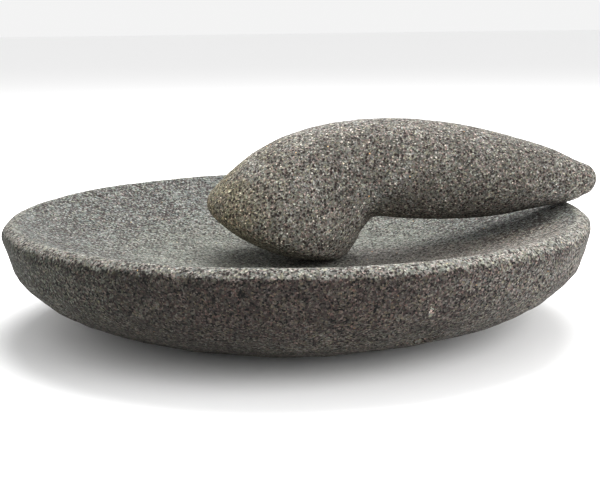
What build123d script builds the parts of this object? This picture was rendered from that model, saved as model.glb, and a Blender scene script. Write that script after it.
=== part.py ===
"""Shallow round stone grinding dish, with its loose bent pestle resting in it.

Millimetres, +Z up. The origin is the middle of the dish's flat base, on the surface the dish stands on.
The pestle lies along X: its head rests on the floor of the bowl and its handle on the rim at +X.
Pestle and dish stay about 0.3 mm apart where the real ones touch.
"""

from build123d import *

import math
import os

# Dish, a solid of revolution about Z. Pairs are (radius, height).
BASE_RADIUS = 66.0  # the flat that the dish stands on
BASE_ROUND = 3.0
UNDERSIDE_CONTROL = (108.5, 8.5)  # pulls the sweep from the base up to the wall
SHOULDER = (121.0, 27.0)  # the underside meets the upright wall
SHOULDER_ROUND = 8.0
RIM_CENTRE = (119.7, 40.7)  # middle of the rim's rounding
RIM_ROUND = 5.3
BOWL_SLOPE = 22.9  # degrees, how steeply the bowl falls away just inside the rim

# Pestle, drawn in the upright plane of its bend, from a point on the inside of the bend
BEND_POINT = (32.0, 13.0, 40.7)
FACE_DOME = 8.5  # rise of the convex grinding face above its edge
FACE_ROUND = 6.5  # rounding of the grinding face's edge
TIP_DOME = 4.9  # length of the rounded end of the handle

# Round sections, evenly spaced from the grinding face to the tip of the handle:
# (distance along the handle, height, heading of the centre line in degrees, diameter)
SECTIONS = [
    (-41.0, -6.1, 70.0, 64.3),  # edge of the grinding face
    (-34.1, 5.8, 67.0, 64.7),
    (-24.3, 14.1, 52.0, 56.8),  # the head narrows into the bend
    (-12.5, 20.0, 34.0, 48.0),
    (-0.5, 22.0, 15.0, 44.0),  # inside of the bend
    (12.5, 21.8, 4.0, 44.0),
    (25.5, 21.0, 1.0, 43.5),  # grip
    (39.0, 20.0, -1.0, 41.5),
    (52.0, 18.8, -3.0, 38.0),
    (65.5, 17.7, -6.0, 32.5),  # the handle tapers
    (79.5, 16.7, -8.0, 25.1),  # lies on the dish's rim
    (95.4, 15.4, -10.0, 13.7),  # start of the rounded tip
]

# Upright plane of the bend, with local X along the handle and local Y up
BEND = Plane(origin=BEND_POINT, x_dir=(1, 0, 0), z_dir=(0, -1, 0))


def edges_in_plane(part, plane):
    """Edges of a part that lie in a plane."""
    return part.edges().filter_by(
        lambda edge: all(abs(plane.to_local_coords(edge @ step).Z) < 0.01 for step in (0, 0.5, 1))
    )


def section_plane(along, height, heading):
    """Plane across the pestle at one section: local X points sideways, local Z along the centre line."""
    turn = math.radians(heading)
    centre = BEND.from_local_coords((along, height, 0))
    ahead = BEND.from_local_coords((along + math.cos(turn), height + math.sin(turn), 0))
    return Plane(origin=centre, x_dir=BEND.z_dir, z_dir=ahead - centre)


def add_end_dome(section, rise):
    """Round off an end section of the pestle. A negative rise points back along the centre line."""
    along, height, heading, diameter = section
    end = section_plane(along, height, heading)
    dome_radius = ((diameter / 2) ** 2 + rise**2) / (2 * abs(rise))
    # drawn in the plane of the bend, so that the dome's seam meets the loft's
    with BuildSketch(Plane(origin=end.origin, x_dir=end.y_dir, z_dir=end.x_dir)) as half_profile:
        with BuildLine():
            flat = Line((0, 0), (diameter / 2, 0))
            crown = RadiusArc(flat @ 1, (0, rise), math.copysign(dome_radius, -rise))
            Line(crown @ 1, flat @ 0)
        make_face()
    revolve(half_profile.sketch, axis=Axis(end.origin, end.z_dir))


# Dish
wall_run = RIM_CENTRE[0] - SHOULDER[0]
wall_rise = RIM_CENTRE[1] - SHOULDER[1]
# the straight wall runs from the shoulder and just touches the rim's circle
wall_angle = math.degrees(
    math.atan2(wall_rise, wall_run) - math.asin(RIM_ROUND / math.hypot(wall_run, wall_rise))
)

with BuildPart() as dish:
    with BuildSketch(Plane.XZ):
        with BuildLine():
            base = Line((0, 0), (BASE_RADIUS, 0))
            underside = Bezier(base @ 1, UNDERSIDE_CONTROL, SHOULDER)
            rim = CenterArc(RIM_CENTRE, RIM_ROUND, wall_angle - 90, 180 + BOWL_SLOPE - wall_angle)
            Line(underside @ 1, rim @ 0)
            # the bowl is one arc from the rim to the axis, where it is level
            bowl_radius = (rim @ 1).X / math.sin(math.radians(BOWL_SLOPE))
            floor_height = (rim @ 1).Y - bowl_radius * (1 - math.cos(math.radians(BOWL_SLOPE)))
            bowl = RadiusArc(rim @ 1, (0, floor_height), bowl_radius)
            Line(bowl @ 1, base @ 0)
        make_face()
    revolve(axis=Axis.Z)
    fillet(edges_in_plane(dish, Plane.XY.offset(SHOULDER[1])), SHOULDER_ROUND)
    fillet(edges_in_plane(dish, Plane.XY), BASE_ROUND)
dish.part.label = "dish"

# Pestle: half of it is lofted through half-round sections, then mirrored in the plane of the bend
with BuildPart() as pestle:
    for along, height, heading, diameter in SECTIONS:
        with BuildSketch(section_plane(along, height, heading)):
            with BuildLine():
                side = CenterArc((0, 0), diameter / 2, -90, 180)
                Line(side @ 1, side @ 0)
            make_face()
    loft()
    mirror(about=BEND)
    add_end_dome(SECTIONS[0], -FACE_DOME)
    add_end_dome(SECTIONS[-1], TIP_DOME)
    fillet(edges_in_plane(pestle, section_plane(*SECTIONS[0][:3])), FACE_ROUND)
pestle.part.label = "pestle"

os.makedirs("parts", exist_ok=True)
export_step(dish.part, "parts/dish.step")
export_step(pestle.part, "parts/pestle.step")
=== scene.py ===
"""Looks of a stone grinding dish and its loose bent pestle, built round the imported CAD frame.

Lengths in the shapes and textures below are in millimetres, and turn into metres where they meet Blender.
Lamp, floor and camera lengths are in metres. Colours are linear.
"""

import math

import bmesh
import bpy
from mathutils import Matrix, Vector, noise
from mathutils.bvhtree import BVHTree


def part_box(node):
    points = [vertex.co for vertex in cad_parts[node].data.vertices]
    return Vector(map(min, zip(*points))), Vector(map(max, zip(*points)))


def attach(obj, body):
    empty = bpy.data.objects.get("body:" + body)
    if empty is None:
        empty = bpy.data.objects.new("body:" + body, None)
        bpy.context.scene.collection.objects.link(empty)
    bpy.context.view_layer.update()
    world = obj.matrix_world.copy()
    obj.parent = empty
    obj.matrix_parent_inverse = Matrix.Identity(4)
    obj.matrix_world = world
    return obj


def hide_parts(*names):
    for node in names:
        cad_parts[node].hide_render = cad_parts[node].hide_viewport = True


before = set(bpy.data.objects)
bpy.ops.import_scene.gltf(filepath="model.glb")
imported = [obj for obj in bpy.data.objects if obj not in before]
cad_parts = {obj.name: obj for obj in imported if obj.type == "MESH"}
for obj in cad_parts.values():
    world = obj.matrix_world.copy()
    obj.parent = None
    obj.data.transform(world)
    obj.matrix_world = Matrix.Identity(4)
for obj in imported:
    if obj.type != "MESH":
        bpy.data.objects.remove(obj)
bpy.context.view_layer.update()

MM = 0.001  # metres

# Places on the object, worked out from the frame
dish_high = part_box("dish")[1] / MM
pestle_low, pestle_high = (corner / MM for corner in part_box("pestle"))
RIM_RADIUS = dish_high.x
RIM_HEIGHT = dish_high.z
PESTLE_MIDDLE = (pestle_low.y + pestle_high.y) / 2
HEAD_REST = Vector((14.2, PESTLE_MIDDLE, pestle_low.z))  # where the head stands on the bowl
HANDLE_REST = Vector((RIM_RADIUS - 7.1, PESTLE_MIDDLE, RIM_HEIGHT))  # where the handle lies on the rim


# ---------------------------------------------------------------- noise and falloffs

HOLLOW_REACH = 0.75  # radius of a hollow, as a share of its size
SMALLEST_PIT = 0.22  # radius, as a share of the pits' spacing
PIT_SPREAD = 0.28  # how much wider the widest pits are, as the same share
DRAW_SCALE = 91.7  # turns a pit's place into its random draw


def swell(point, size, seed):
    """Smooth noise from about -1 to 1, in lumps about size across."""
    return noise.noise(point / size + Vector((seed, -seed, 2 * seed)))


def hollows(point, size, seed):
    """0 on the ridges between shallow hollows about size across, 1 in the middle of each."""
    nearest = noise.voronoi(point / size + Vector((seed, seed, -seed)))[0][0]
    return max(0.0, 1.0 - (nearest / HOLLOW_REACH) ** 2)


def pits(point, spacing, share, seed):
    """Scattered round pits, from 0 outside to 1 at the bottom. A share of the places holds one."""
    distances, centres = noise.voronoi(point / spacing + Vector((-seed, seed, seed)))
    draw = (noise.cell(centres[0] * DRAW_SCALE) + 1.0) / 2.0
    if draw > share:
        return 0.0
    reach = SMALLEST_PIT + PIT_SPREAD * draw / share
    return max(0.0, 1.0 - (distances[0] / reach) ** 2)


def step(value, low, high):
    """0 below low, 1 above high, and smooth between."""
    t = min(1.0, max(0.0, (value - low) / (high - low)))
    return t * t * (3 - 2 * t)


def near(point, centre, reach):
    """1 at the centre, falling smoothly to almost 0 at twice the reach."""
    return math.exp(-((point - centre).length / reach) ** 2)


# ---------------------------------------------------------------- shapes

WELD_DISTANCE = 0.001

# How a chip's outline wanders: size and seed of the noise, and its strength
CHIP_NOISE = (1.6, 3.3)
CHIP_WANDER = 0.35
CHIP_WALL = 0.7  # share of a chip's reach over which it gets deeper
CHIP_PALING = 0.3  # share of a chip's reach over which it gets paler
FRESH_BREAK = Vector((0.290, 0.280, 0.260))  # colour inside a chip

DENT_MIDDLE = 0.4  # share of a dent's depth that lies above the CAD surface


def even_copy(node, name, cell):
    """New object with a CAD node's shape as an even mesh of quads about cell across."""
    source = bmesh.new()
    source.from_mesh(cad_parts[node].data)
    bmesh.ops.remove_doubles(source, verts=source.verts, dist=WELD_DISTANCE * MM)
    mesh = bpy.data.meshes.new(name)
    source.to_mesh(mesh)
    piece = bpy.data.objects.new(name, mesh)
    bpy.context.scene.collection.objects.link(piece)
    remesh = piece.modifiers.new("even", "REMESH")
    remesh.mode = "VOXEL"
    remesh.voxel_size = cell * MM
    graph = bpy.context.evaluated_depsgraph_get()
    piece.data = bpy.data.meshes.new_from_object(piece.evaluated_get(graph))
    piece.modifiers.clear()
    surface = BVHTree.FromBMesh(source)
    for vertex in piece.data.vertices:
        vertex.co = surface.find_nearest(vertex.co)[0]
    source.free()
    piece.data.shade_smooth()
    return piece


def carve(piece, surface_at):
    """Shape a piece's surface and colour it, painted light and shade included.

    surface_at(point, normal) gives how deep the point sinks along its normal, how much of that is a pit,
    how rough and how full of pinholes the stone is left there, from 0 to 1, and its colour.
    """
    mesh = piece.data
    points = [vertex.co / MM for vertex in mesh.vertices]
    normals = [vertex.normal.copy() for vertex in mesh.vertices]
    levels = {"pit": [], "rough": [], "porous": []}
    colours = []
    for vertex, point, normal in zip(mesh.vertices, points, normals):
        depth, pit, rough, porous, colour = surface_at(point, normal)
        vertex.co -= normal * depth * MM
        levels["pit"].append(pit)
        levels["rough"].append(rough)
        levels["porous"].append(porous)
        colours.extend((*colour, 1.0))
    for name, values in levels.items():
        mesh.attributes.new(name, "FLOAT", "POINT").data.foreach_set("value", values)
    mesh.attributes.new("stain_and_painted_light", "FLOAT_COLOR", "POINT").data.foreach_set("color", colours)
    mesh.update()


def damage(point, chips):
    """Depth and paleness that a piece's chips give a point."""
    depth = 0.0
    pale = 0.0
    for centre, reach, chip_depth, chip_pale in chips:
        offset = (point - centre) * Vector((1 / reach[0], 1 / reach[1], 1 / reach[2]))
        inside = 1 - offset.length + CHIP_WANDER * swell(point, *CHIP_NOISE)
        if inside > 0:
            depth = max(depth, chip_depth * step(inside, 0.0, CHIP_WALL))
            pale = max(pale, chip_pale * step(inside, 0.0, CHIP_PALING))
    return depth, pale


# ---------------------------------------------------------------- the dish: shape

DISH_MESH_SIZE = 1.15
BASE_SPREAD = 0.1  # how far the stone may swell out for each millimetre above the floor

# Chips: middle, reach along X, Y and Z, depth and paleness
DISH_CHIPS = (
    (Vector((45, -93, 12)), (10, 8, 5), 2.0, 0.1),  # under the edge at the front right
    (Vector((47.8, -111.5, 28)), (1.1, 2, 3), 0.7, 0.8),  # upright gouge in the wall
    (Vector((-107, -26.6, 43.5)), (1.6, 1.6, 1.6), 0.5, 0.7),
    (Vector((-60, -104, 44)), (3, 3, 2.5), 0.8, 0.1),
    (Vector((88, -86, 42)), (3, 3, 3), 0.7, 0.1),
    (Vector((20, 121, 43)), (5, 4, 3), 1.0, 0.2),
    (Vector((-97, 74, 40)), (3, 4, 3), 0.9, 0.2),
    (Vector((70, 96, 14)), (5, 5, 4), 1.1, 0.1),
)

# Outward tilts, in degrees, over which the bowl turns into the wall's shape and into the rim's rough band
WALL_TILTS = (30, 70)
BAND_TILTS = (-15, 0)

# Inward tilts, and distances from the middle, over which the floor of the bowl turns into its slope
SLOPE_TILTS = (4, 20)
SLOPE_RADII = (42, 90)

# The relief fades out this near to the places where the pestle touches
DISH_HEAD_CLEAR = 16
DISH_HANDLE_CLEAR = 12

# Noise: size of the lumps and seed
DISH_WARP = (45, 3.1)
WALL_FACETS = (24, 1.7)
WALL_WAVES = (7, 2.9)
BOWL_DENTS = (9, 4.7)
DISH_PECKS = (2.6, 5.3)
PECKED_PATCHES = (20, 2.7)
DISH_PITS = (3.0, 0.45, 2.2)  # spacing, share of the places that hold one, and seed

# Depths, and how far the whole surface stands out to make room for them
WARP_DEPTH = 0.35
DISH_RISE = 0.1
FACET_DEPTH = 0.8
FACET_RISE = 0.4
WAVE_DEPTH = 0.25
DENT_DEPTH = 0.15

# Levels in the middle of the bowl, and how much the wall and the bowl's slope add
PECK_DEPTHS = (0.04, 0.08, 0.04)
PIT_DEPTHS = (0.1, 0.35, 0.5)

# Roughness and pinholes: level in the middle of the bowl, more on its slope, more where that is pecked
BOWL_ROUGHNESS = (0.5, 0.2, 0.3)
BOWL_PINHOLES = (0.25, 0.25, 0.5)
BAND_ROUGHNESS = 0.6
PECKED_FROM = (-0.35, 0.25)  # noise levels between which smooth stone turns into pecked stone


def outward_tilt(point, normal):
    """Degrees that the dish's surface leans out from facing up: below 0 in the bowl, 180 under the base."""
    spoke = Vector((point.x, point.y, 0)).normalized()
    tilt = math.degrees(math.atan2(normal.dot(spoke), normal.z))
    return tilt if normal.z > 0 else abs(tilt)


def dish_relief(point, wall, slope):
    """How deep the dish's large and small unevenness sinks a point."""
    depth = WARP_DEPTH * swell(point, *DISH_WARP) - DISH_RISE
    depth += wall * (FACET_DEPTH * hollows(point, *WALL_FACETS) - FACET_RISE)
    depth += wall * WAVE_DEPTH * swell(point, *WALL_WAVES)
    depth += (1 - wall) * DENT_DEPTH * (hollows(point, *BOWL_DENTS) - DENT_MIDDLE)
    peck_depth = PECK_DEPTHS[0] + PECK_DEPTHS[1] * wall + PECK_DEPTHS[2] * slope
    return depth + peck_depth * swell(point, *DISH_PECKS)


def dish_surface(point, normal):
    tilt = outward_tilt(point, normal)
    wall = step(tilt, *WALL_TILTS)
    band = step(tilt, *BAND_TILTS)
    slope = step(math.hypot(point.x, point.y), *SLOPE_RADII) * step(-tilt, *SLOPE_TILTS)
    touch = near(point, HEAD_REST, DISH_HEAD_CLEAR) + near(point, HANDLE_REST, DISH_HANDLE_CLEAR)
    free = max(0.0, 1 - touch)
    depth = dish_relief(point, wall, slope)
    if normal.z < 0:
        depth = max(depth, -point.z * BASE_SPREAD)
    pit_depth = PIT_DEPTHS[0] + PIT_DEPTHS[1] * wall + PIT_DEPTHS[2] * slope
    pit = free * pit_depth * pits(point, *DISH_PITS)
    chip, pale = damage(point, DISH_CHIPS)
    colour, outside = dish_colour(point, tilt, slope, pale)
    pecked = step(swell(point, *PECKED_PATCHES), *PECKED_FROM)
    rough = BOWL_ROUGHNESS[0] + slope * (BOWL_ROUGHNESS[1] + BOWL_ROUGHNESS[2] * pecked)
    rough = max(outside, BAND_ROUGHNESS * band, (1 - band) * rough)
    porous = BOWL_PINHOLES[0] + slope * (BOWL_PINHOLES[1] + BOWL_PINHOLES[2] * pecked)
    porous *= (1 - wall) * (1 - band)
    return free * depth + pit + chip, pit, rough, porous, colour


# ---------------------------------------------------------------- the dish: colour

WORN_GREY = Vector((0.168, 0.174, 0.156))  # floor of the bowl
SLOPE_GREY = Vector((0.126, 0.131, 0.127))
# painted light in the handle's cast shadow, browner than the floor
HANDLE_SHADOW_FILL = Vector((0.178, 0.166, 0.152))
RIM_CREAM = Vector((0.186, 0.180, 0.166))
# Outside of the dish: darker unworn stone with painted shade, and painted light toward the right and lower
# down
OUTER_LEFT_STONE_AND_SHADE = Vector((0.052, 0.053, 0.044))
OUTER_MIDDLE_STONE_AND_SHADE = Vector((0.046, 0.037, 0.033))
OUTER_RIGHT_STONE_AND_LIGHT = Vector((0.108, 0.100, 0.094))
OUTER_LOW_STONE_AND_LIGHT = Vector((0.072, 0.067, 0.059))
RUBBED_BASE = Vector((0.125, 0.120, 0.108))  # where the dish has rubbed on tables

# The worn inside turns into the dark outside, unworn stone with painted shade, at this tilt, in degrees,
# which wanders and grows toward +X
EDGE_TILT = 62
EDGE_LEAN = 4
EDGE_BLUR = 6
EDGE_WANDER = 8
EDGE_NIBBLE = 5

# Painted light in the handle's cast shadow, browner than the floor: its back edge's line through the bowl
# along the shadow's edge, how the edge wanders, and how each side fades
SHADOW_EDGE_MIDDLE_X = 46
SHADOW_EDGE_MIDDLE_Y = 18.5
SHADOW_EDGE_LEAN = 0.46
SHADOW_EDGE_WANDER = 3
SHADOW_BACK_FADE = (-2, 4)
SHADOW_LEFT_FADE = (10, 35)
SHADOW_RIGHT_FADE = (-5, 5)
SHADOW_RIGHT_END = RIM_RADIUS - 15
SHADOW_FILL_STRENGTH = 0.9

RIM_TILTS = (-12, 12)
# Painted shade: the floor of the bowl darkens toward its left side
BOWL_LEFT_SHADE_SIDE = (10, 60)
BOWL_LEFT_PAINTED_SHADE = 0.1

# Where the outside changes: from the middle to each end, as shares of the radius, and down from the rim.
# These changes are painted light and shade over the stone's own dark colour.
OUTER_LEFT_FADE = (0.15, 0.9)
OUTER_RIGHT_FADE = (0.15, 1.0)
OUTER_LOW_FADE = (14, 40)
# Painted shade, darkest on the front left of the wall
SHADED_SIDE = Vector((-45, -114, 32))  # middle of the darkest part of the wall
SHADED_SIDE_REACH = 35
SHADED_SIDE_STRENGTH = 0.25
RUBBED_HEIGHT = 1.5
RUBBED_FADE = (0, 2)
RUBBED_STRENGTH = 0.7

# Noise: size of the lumps and seed
EDGE_WANDERS = (5, 1.3)
EDGE_NIBBLES = (1.8, 8.8)
SHADOW_EDGE_WANDERS = (9, 4.2)
RUBBED_WANDERS = (12, 9.1)
OUTER_PATCHES = (20, 6.4)
OUTER_MOTTLES = (6, 5.5)
DISH_PATCHES = (14, 3.9)

OUTER_PATCH_STRENGTH = 0.3
OUTER_MOTTLE_STRENGTH = 0.25
DISH_PATCH_STRENGTH = 0.1


def handle_shadow_share(point):
    """How much of the painted light in the handle's cast shadow lies on a point: in front of the handle, up
    to the right wall.
    """
    back = SHADOW_EDGE_MIDDLE_Y - SHADOW_EDGE_LEAN * (point.x - SHADOW_EDGE_MIDDLE_X)
    back += SHADOW_EDGE_WANDER * swell(point, *SHADOW_EDGE_WANDERS)
    shadow_fill = step(back - point.y, *SHADOW_BACK_FADE) * step(point.x, *SHADOW_LEFT_FADE)
    return shadow_fill * step(SHADOW_RIGHT_END - point.x, *SHADOW_RIGHT_FADE)


def inner_colour(point, tilt, slope):
    left = step(-point.x, *BOWL_LEFT_SHADE_SIDE) * (1 - slope)
    colour = WORN_GREY.lerp(SLOPE_GREY, slope)
    # Painted light, browner than the floor, in the handle's cast shadow
    colour = colour.lerp(HANDLE_SHADOW_FILL, SHADOW_FILL_STRENGTH * handle_shadow_share(point))
    # Painted shade on the left of the bowl's floor
    colour = colour * (1 - BOWL_LEFT_PAINTED_SHADE * left)
    return colour.lerp(RIM_CREAM, step(tilt, *RIM_TILTS))


def outer_stone_and_shade(point, side):
    rubbed = step(RUBBED_HEIGHT + swell(point, *RUBBED_WANDERS) - point.z, *RUBBED_FADE)
    patches = OUTER_PATCH_STRENGTH * swell(point, *OUTER_PATCHES)
    mottles = OUTER_MOTTLE_STRENGTH * swell(point, *OUTER_MOTTLES)
    # Painted shade on the dark outside, with painted light toward +X and lower down
    colour = OUTER_MIDDLE_STONE_AND_SHADE.lerp(OUTER_LEFT_STONE_AND_SHADE, step(-side, *OUTER_LEFT_FADE))
    colour = colour.lerp(OUTER_LOW_STONE_AND_LIGHT, step(RIM_HEIGHT - point.z, *OUTER_LOW_FADE))
    colour = colour.lerp(OUTER_RIGHT_STONE_AND_LIGHT, step(side, *OUTER_RIGHT_FADE))
    colour = colour * (1 - SHADED_SIDE_STRENGTH * near(point, SHADED_SIDE, SHADED_SIDE_REACH))
    colour = colour.lerp(RUBBED_BASE, RUBBED_STRENGTH * rubbed)
    return colour * (1 + patches + mottles)


def dish_colour(point, tilt, slope, pale):
    """The dish's colour at a point, with its painted light and shade, and how far the point belongs to the
    outside.
    """
    side = point.x / RIM_RADIUS
    edge = EDGE_TILT + EDGE_LEAN * side
    edge += EDGE_WANDER * swell(point, *EDGE_WANDERS) + EDGE_NIBBLE * swell(point, *EDGE_NIBBLES)
    outside = step(tilt, edge - EDGE_BLUR, edge + EDGE_BLUR)
    colour = inner_colour(point, tilt, slope).lerp(outer_stone_and_shade(point, side), outside)
    colour = colour * (1 + DISH_PATCH_STRENGTH * swell(point, *DISH_PATCHES))
    return colour.lerp(FRESH_BREAK, pale), outside


# ---------------------------------------------------------------- the pestle

PESTLE_MESH_SIZE = 0.55

PESTLE_GREY = Vector((0.190, 0.177, 0.162))
PESTLE_OLIVE = Vector((0.190, 0.170, 0.122))
PESTLE_PALE = Vector((0.235, 0.224, 0.212))
PESTLE_DARK = Vector((0.135, 0.125, 0.113))

# Chips: middle, reach along X, Y and Z, depth and paleness
PESTLE_CHIPS = (
    (Vector((73.2, 3.0, 42.0)), (2.2, 4, 2.2), 0.9, 0.0),  # notch under the handle
    (Vector((49.3, -6.4, 72.5)), (2.2, 2.2, 2.2), 0.3, 0.45),
    (Vector((64.4, -6.3, 52.0)), (2.8, 2.8, 2.0), 0.3, 0.25),
    (Vector((6.3, -15.1, 55.3)), (4.5, 4.5, 3.5), 0.2, 0.15),
    (Vector((-12, 40, 62)), (3.5, 3.5, 3.5), 0.6, 0.2),
)

# The relief fades out this near to the places where the pestle touches the dish
PESTLE_HEAD_CLEAR = 14
PESTLE_HANDLE_CLEAR = 10

# Noise: size of the lumps and seed
PESTLE_WARP = (26, 7.1)
PESTLE_DENTS = (8, 4.7)
PESTLE_PECKS = (1.7, 9.3)
PALE_PATCHES = (15, 5.1)
DARK_PATCHES = (16, 8.2)
PESTLE_MOTTLES = (7, 7.7)
PESTLE_FLECKS = (3, 2.4)
PESTLE_PITS = (2.3, 0.45, 6.2)  # spacing, share of the places that hold one, and seed

PESTLE_WARP_DEPTH = 0.25
PESTLE_DENT_DEPTH = 0.16
PESTLE_PECK_DEPTH = 0.07
PESTLE_PIT_DEPTH = 0.3
PESTLE_ROUGHNESS = 0.75
PESTLE_PINHOLES = 0.0

# Strengths of the stains and of the painted light and shade, and the noise levels or places between which
# each comes in. Places are measured toward -X, where the nose is, but the handle's toward +X and the nose's
# upper limit down from NOSE_TOP.
PALE_STRENGTH = 0.8
PALE_FROM = (0.05, 0.45)
DARK_STRENGTH = 0.45
DARK_FROM = (0.2, 0.5)
MOTTLE_STRENGTH = 0.15
FLECK_STRENGTH = 0.08
OLIVE_FROM = (0, 35)
# The head is paler, partly a pale patch of stone and partly painted light; the nose gets painted light, the
# handle toward its tip painted shade
HEAD_PALE_AND_LIT = 0.15
HEAD_FROM = (-20, 5)
HANDLE_PAINTED_SHADE = 0.2
HANDLE_FROM = (45, 90)
NOSE_PAINTED_LIGHT = 0.3
NOSE_FROM = (0, 30)
NOSE_TOP = 66
NOSE_TOP_FADE = (0, 25)


def pestle_relief(point):
    """How deep the pestle's large and small unevenness sinks a point."""
    depth = PESTLE_WARP_DEPTH * swell(point, *PESTLE_WARP)
    depth += PESTLE_DENT_DEPTH * (hollows(point, *PESTLE_DENTS) - DENT_MIDDLE)
    return depth + PESTLE_PECK_DEPTH * swell(point, *PESTLE_PECKS)


def pestle_colour(point, pale):
    mottles = MOTTLE_STRENGTH * swell(point, *PESTLE_MOTTLES)
    flecks = FLECK_STRENGTH * swell(point, *PESTLE_FLECKS)
    # Painted light on the head and nose, painted shade on the handle toward its tip
    head = HEAD_PALE_AND_LIT * step(-point.x, *HEAD_FROM)
    handle = HANDLE_PAINTED_SHADE * step(point.x, *HANDLE_FROM)
    nose = NOSE_PAINTED_LIGHT * step(-point.x, *NOSE_FROM) * step(NOSE_TOP - point.z, *NOSE_TOP_FADE)
    colour = PESTLE_GREY.lerp(PESTLE_OLIVE, step(-point.x, *OLIVE_FROM))
    colour = colour.lerp(PESTLE_PALE, PALE_STRENGTH * step(swell(point, *PALE_PATCHES), *PALE_FROM))
    colour = colour.lerp(PESTLE_DARK, DARK_STRENGTH * step(swell(point, *DARK_PATCHES), *DARK_FROM))
    colour = colour * (1 + mottles + flecks) * (1 + head - handle) * (1 + nose)
    return colour.lerp(FRESH_BREAK, pale)


def pestle_surface(point, normal):
    touch = near(point, HEAD_REST, PESTLE_HEAD_CLEAR) + near(point, HANDLE_REST, PESTLE_HANDLE_CLEAR)
    free = max(0.0, 1 - touch)
    pit = free * PESTLE_PIT_DEPTH * pits(point, *PESTLE_PITS)
    chip, pale = damage(point, PESTLE_CHIPS)
    depth = free * pestle_relief(point) + pit + chip
    return depth, pit, PESTLE_ROUGHNESS, PESTLE_PINHOLES, pestle_colour(point, pale)


# ---------------------------------------------------------------- the two pieces

dish = even_copy("dish", "dish_stone", DISH_MESH_SIZE)
carve(dish, dish_surface)
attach(dish, "dish")
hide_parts("dish")

pestle = even_copy("pestle", "pestle_stone", PESTLE_MESH_SIZE)
carve(pestle, pestle_surface)
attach(pestle, "pestle")
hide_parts("pestle")


# ---------------------------------------------------------------- material building blocks


class Nodes:
    """A material's node tree, with one short method for each kind of node that it uses."""

    def __init__(self, name):
        self.material = bpy.data.materials.new(name)
        self.material.use_nodes = True
        self.tree = self.material.node_tree
        self.tree.nodes.clear()
        self.shader = self.add("ShaderNodeBsdfPrincipled")
        self.add("ShaderNodeOutputMaterial", {"Surface": self.shader.outputs[0]})

    def add(self, kind, inputs=None, **settings):
        node = self.tree.nodes.new(kind)
        for key, value in settings.items():
            setattr(node, key, value)
        for key, value in (inputs or {}).items():
            self.feed(node.inputs[key], value)
        return node

    def feed(self, socket, value):
        """Link a socket to another, or set it to a number or colour."""
        if isinstance(value, bpy.types.NodeSocket):
            self.tree.links.new(value, socket)
        else:
            socket.default_value = value

    def place(self):
        """The point on the object, in millimetres."""
        metres = self.add("ShaderNodeTexCoord").outputs["Object"]
        return self.scaled(metres, 1 / MM)

    def scaled(self, vector, scale):
        return self.add("ShaderNodeVectorMath", {0: vector, "Scale": scale}, operation="SCALE").outputs[0]

    def moved(self, place, offset):
        return self.add("ShaderNodeVectorMath", {0: place, 1: offset}, operation="ADD").outputs[0]

    def clouds(self, place, size, detail=3.0):
        inputs = {"Vector": place, "Scale": 1 / size, "Detail": detail}
        return self.add("ShaderNodeTexNoise", inputs).outputs

    def cells(self, place, size):
        """Cells about size across: each cell's three random numbers, and the distance to its middle."""
        voronoi = self.add("ShaderNodeTexVoronoi", {"Vector": place, "Scale": 1 / size}).outputs
        draws = self.add("ShaderNodeSeparateColor", {0: voronoi["Color"]}).outputs
        return draws, voronoi["Distance"]

    def math(self, operation, a, b=0.0, clamp=False):
        return self.add("ShaderNodeMath", {0: a, 1: b}, operation=operation, use_clamp=clamp).outputs[0]

    def ramp(self, value, stops):
        """Colour for a value from 0 to 1. A stop is a position and its level, one number or a colour."""
        node = self.add("ShaderNodeValToRGB", {0: value})
        elements = node.color_ramp.elements
        while len(elements) < len(stops):
            elements.new(0.5)
        for element, (position, level) in zip(elements, stops):
            element.position = position
            element.color = (*level, 1) if isinstance(level, tuple) else (level, level, level, 1)
        return node.outputs[0]

    def mix(self, blend, a, b, factor=1.0):
        """Blend two colours. Of the node's sockets with one name, only the one for colours is enabled."""
        node = self.add("ShaderNodeMix", data_type="RGBA", blend_type=blend)
        for name, value in (("A", a), ("B", b), ("Factor", factor)):
            socket = next(s for s in node.inputs if s.name == name and s.enabled)
            self.feed(socket, value)
        return next(s for s in node.outputs if s.enabled)

    def attribute(self, name, output):
        return self.add("ShaderNodeAttribute", attribute_name=name).outputs[output]


# ---------------------------------------------------------------- the stones

# Stops of the ramps: position, and the tone, roughness or hue there
DISH_TONES = ((0.0, 0.0), (0.15, 0.05), (0.30, 0.42), (0.68, 0.60), (0.84, 1.0), (1.0, 1.0))
PESTLE_TONES = ((0.0, 0.03), (0.16, 0.09), (0.36, 0.28), (0.78, 0.37), (0.90, 0.68), (1.0, 0.90))
FINE_TONES = ((0.0, 0.20), (0.25, 0.50), (0.75, 0.62), (1.0, 1.0))
CLOUD_TONES = ((0.3, 0.86), (0.7, 1.0))
GRAIN_ROUGHNESS = ((0.0, 0.95), (0.85, 0.85), (1.0, 0.5))  # the palest grains are the glossiest
GRAIN_HUES = (
    (0.0, (1.00, 0.68, 0.62)),  # reddish
    (0.3, (1.00, 0.95, 0.95)),  # plain
    (0.6, (0.84, 1.00, 0.90)),  # greenish
    (0.8, (1.00, 0.96, 0.66)),  # yellowish
    (1.0, (0.80, 0.90, 1.00)),  # bluish
)
CRYSTAL_HUES = (
    (0.0, (1.0, 0.5, 0.15)),  # rusty
    (0.04, (1.0, 0.8, 0.5)),
    (0.1, (1.0, 0.94, 0.85)),  # cream
    (1.0, (0.92, 0.92, 0.9)),
)
WORN_TONE = (0.33, 0.33, 0.33, 1)  # what the grains of smooth stone blend toward
# Painted shade in pores, pinholes and carved pits
HOLE_SHADE_COLOUR = (0.022, 0.014, 0.013, 1)

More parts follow.
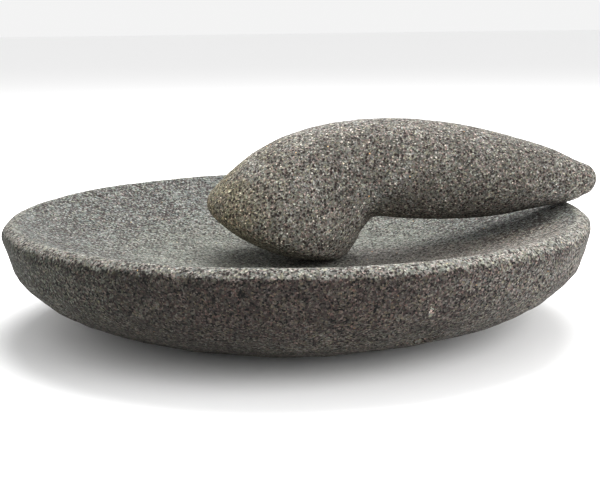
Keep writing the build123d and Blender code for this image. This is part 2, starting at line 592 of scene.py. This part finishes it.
# Grains
WANDER_SIZE = 1.4  # size of the noise that bends the grains' edges
WANDER_DETAIL = 2.0
WANDER_REACH = 0.5
FINE_GRAIN = 0.6  # size of the fine grains, as a share of the coarse ones
WEAR = 0.4  # how far the smoothest stone loses its grain
LEAST_HUE = 0.25
HUE_BY_ROUGHNESS = 0.65
CLOUD_SIZE = 9.0

# Pores, pinholes and crystals: the share of the cells that holds one, its radius as a share of the cell,
# and how sharply it ends
PORE_SHARE = 0.6
PORE_RADIUS = 0.43
PORE_SHARPNESS = 9.0
PORE_SHADE = 0.9
PINHOLE_SIZE = 1.5
PINHOLE_SHARE = 0.5
PINHOLE_RADIUS = 0.62
PINHOLE_SHARPNESS = 8.0
PINHOLE_SHADE = 0.85
CRYSTAL_SIZE = 2.2
CRYSTAL_SHARE = 0.3
CRYSTAL_RADIUS = 0.16

# Offsets that keep the layers of cells apart
FINE_OFFSET = (7.3, 2.1, 5.9)
PORE_OFFSET = (1.7, 9.4, 3.3)
PINHOLE_OFFSET = (6.1, 8.2, 0.9)
CRYSTAL_OFFSET = (4.4, 0.3, 8.1)

BUMP_HEIGHT = 0.35
GRAIN_BUMP = 0.5  # height of a grain beside a pore's depth
SPECULAR = 0.3


def grain_layer(nodes, place, rough, grain, tones):
    """Colour of two sizes of grain, each grain with its own tone and hue, and the coarse grains' draws."""
    wander = nodes.clouds(place, WANDER_SIZE, WANDER_DETAIL)["Color"]
    bent_place = nodes.moved(place, nodes.scaled(wander, WANDER_REACH))
    draws, _ = nodes.cells(bent_place, grain)
    fine_draws, _ = nodes.cells(nodes.moved(bent_place, FINE_OFFSET), FINE_GRAIN * grain)
    tone = nodes.mix("MULTIPLY", nodes.ramp(draws[0], tones), nodes.ramp(fine_draws[0], FINE_TONES))
    smoothness = nodes.math("MULTIPLY", nodes.math("SUBTRACT", 1.0, rough), WEAR)
    tone = nodes.mix("MIX", tone, WORN_TONE, smoothness)
    hue_strength = nodes.math("ADD", nodes.math("MULTIPLY", rough, HUE_BY_ROUGHNESS), LEAST_HUE)
    return nodes.mix("MULTIPLY", tone, nodes.ramp(draws[1], GRAIN_HUES), hue_strength), draws


def round_holes(nodes, place, size, share, radius, sharpness):
    """1 inside round holes, one in a share of the cells of a size, and 0 outside."""
    draws, distance = nodes.cells(place, size)
    reach = nodes.math("MULTIPLY", nodes.math("LESS_THAN", draws[0], share), radius)
    return nodes.math("MULTIPLY", nodes.math("SUBTRACT", reach, distance), sharpness, clamp=True)


def stone(name, grain, tones, pore_size, lift):
    """Pecked volcanic stone: grains, crystals, pores and pinholes over the mesh's colour, which holds painted
    light and shade.

    grain and pore_size are the sizes of the coarse grains and of the cells that hold the pores. tones are the
    ramp of the coarse grains' tones, and lift brings back the brightness that grains and clouds take away.
    """
    nodes = Nodes(name)
    place = nodes.place()
    rough = nodes.attribute("rough", "Fac")
    grains, draws = grain_layer(nodes, place, rough, grain, tones)

    # Cream crystals and a few rusty ones
    crystal_draws, crystal_distance = nodes.cells(nodes.moved(place, CRYSTAL_OFFSET), CRYSTAL_SIZE)
    chosen = nodes.math("LESS_THAN", crystal_draws[0], CRYSTAL_SHARE)
    crystal = nodes.math("MULTIPLY", chosen, nodes.math("LESS_THAN", crystal_distance, CRYSTAL_RADIUS))
    grains = nodes.mix("MIX", grains, nodes.ramp(crystal_draws[1], CRYSTAL_HUES), crystal)

    # Open pores, commoner where the stone is rough, and the close pinholes of the bowl
    pore_share = nodes.math("MULTIPLY", rough, PORE_SHARE)
    pore_place = nodes.moved(place, PORE_OFFSET)
    pore = round_holes(nodes, pore_place, pore_size, pore_share, PORE_RADIUS, PORE_SHARPNESS)
    pinhole_share = nodes.math("MULTIPLY", nodes.attribute("porous", "Fac"), PINHOLE_SHARE)
    pinhole_place = nodes.moved(place, PINHOLE_OFFSET)
    pinhole = round_holes(
        nodes, pinhole_place, PINHOLE_SIZE, pinhole_share, PINHOLE_RADIUS, PINHOLE_SHARPNESS
    )

    # The mesh's colour with its painted light and shade, cloudy patches, then painted shade in the holes
    clouds = nodes.ramp(nodes.clouds(place, CLOUD_SIZE)["Fac"], CLOUD_TONES)
    colour = nodes.mix("MULTIPLY", nodes.attribute("stain_and_painted_light", "Color"), grains)
    colour = nodes.mix("MULTIPLY", colour, clouds)
    colour = nodes.mix("MULTIPLY", colour, (lift, lift, lift, 1))
    # Painted shade in the pores, carved pits and pinholes
    shade = nodes.math("MAXIMUM", nodes.math("MULTIPLY", pore, PORE_SHADE), nodes.attribute("pit", "Fac"))
    shade = nodes.math("MAXIMUM", shade, nodes.math("MULTIPLY", pinhole, PINHOLE_SHADE))
    colour = nodes.mix("MIX", colour, HOLE_SHADE_COLOUR, shade)
    nodes.feed(nodes.shader.inputs["Base Color"], colour)

    # Height of the grains and pores, and their gloss
    height = nodes.math("SUBTRACT", nodes.math("MULTIPLY", draws[2], GRAIN_BUMP), pore)
    bump = nodes.add("ShaderNodeBump", {"Height": height, "Distance": BUMP_HEIGHT * MM, "Strength": 1.0})
    nodes.feed(nodes.shader.inputs["Normal"], bump.outputs[0])
    nodes.feed(nodes.shader.inputs["Roughness"], nodes.ramp(draws[0], GRAIN_ROUGHNESS))
    nodes.feed(nodes.shader.inputs["Specular IOR Level"], SPECULAR)
    return nodes.material


dish.data.materials.append(stone("dish_stone", grain=0.72, tones=DISH_TONES, pore_size=1.5, lift=3.1))
pestle.data.materials.append(stone("pestle_stone", grain=0.65, tones=PESTLE_TONES, pore_size=1.5, lift=4.2))


# ---------------------------------------------------------------- floor

FLOOR_HALF = 3.0
FLOOR_COLOUR = (0.93, 0.93, 0.93, 1)
FLOOR_ROUGHNESS = 0.9

mesh = bpy.data.meshes.new("floor")
corners = [(x * FLOOR_HALF, y * FLOOR_HALF, 0) for x, y in ((-1, -1), (1, -1), (1, 1), (-1, 1))]
mesh.from_pydata(corners, [], [(0, 1, 2, 3)])
floor = bpy.data.objects.new("floor", mesh)
bpy.context.scene.collection.objects.link(floor)
floor_nodes = Nodes("floor")
floor_nodes.feed(floor_nodes.shader.inputs["Base Color"], FLOOR_COLOUR)
floor_nodes.feed(floor_nodes.shader.inputs["Roughness"], FLOOR_ROUGHNESS)
mesh.materials.append(floor_nodes.material)


# ---------------------------------------------------------------- light

WORLD_STRENGTH = 0.9
LAMP_DISTANCE = 0.85

world = bpy.data.worlds.new("studio")
bpy.context.scene.world = world
world.use_nodes = True
sky = world.node_tree.nodes["Background"]
sky.inputs["Color"].default_value = (1, 1, 1, 1)
sky.inputs["Strength"].default_value = WORLD_STRENGTH


def add_lamp(name, elevation, azimuth, width, power):
    """Round soft lamp aimed at the object, with angles in degrees.

    The azimuth is clockwise from straight behind the object, seen from above.
    """
    rise = math.radians(elevation)
    turn = math.radians(azimuth)
    ray = Vector((math.sin(turn) * math.cos(rise), math.cos(turn) * math.cos(rise), math.sin(rise)))
    light = bpy.data.lights.new(name, "AREA")
    light.shape = "DISK"
    light.size = width
    light.energy = power
    lamp = bpy.data.objects.new(name, light)
    lamp.location = LAMP_DISTANCE * ray
    lamp.rotation_euler = ray.to_track_quat("Z", "Y").to_euler()
    bpy.context.scene.collection.objects.link(lamp)


add_lamp("key", elevation=60, azimuth=8, width=0.75, power=12.5)
add_lamp("fill", elevation=25, azimuth=120, width=0.8, power=6.3)


# ---------------------------------------------------------------- camera

CAMERA_AIM = Vector((0.0013, 0.0, 0.0288))
CAMERA_DISTANCE = 0.599
CAMERA_ELEVATION = math.radians(11.27)
CAMERA_ROLL = math.radians(0.74)
CAMERA_LENS = 82.5  # focal length in millimetres

camera_data = bpy.data.cameras.new("camera")
camera_data.lens = CAMERA_LENS
camera = bpy.data.objects.new("camera", camera_data)
away = Vector((0, -math.cos(CAMERA_ELEVATION), math.sin(CAMERA_ELEVATION)))
upright = away.to_track_quat("Z", "Y").to_matrix()
camera.location = CAMERA_AIM + away * CAMERA_DISTANCE
camera.rotation_euler = (upright @ Matrix.Rotation(-CAMERA_ROLL, 3, "Z")).to_euler()
bpy.context.scene.collection.objects.link(camera)
bpy.context.scene.camera = camera
bpy.context.scene.view_settings.view_transform = "Standard"
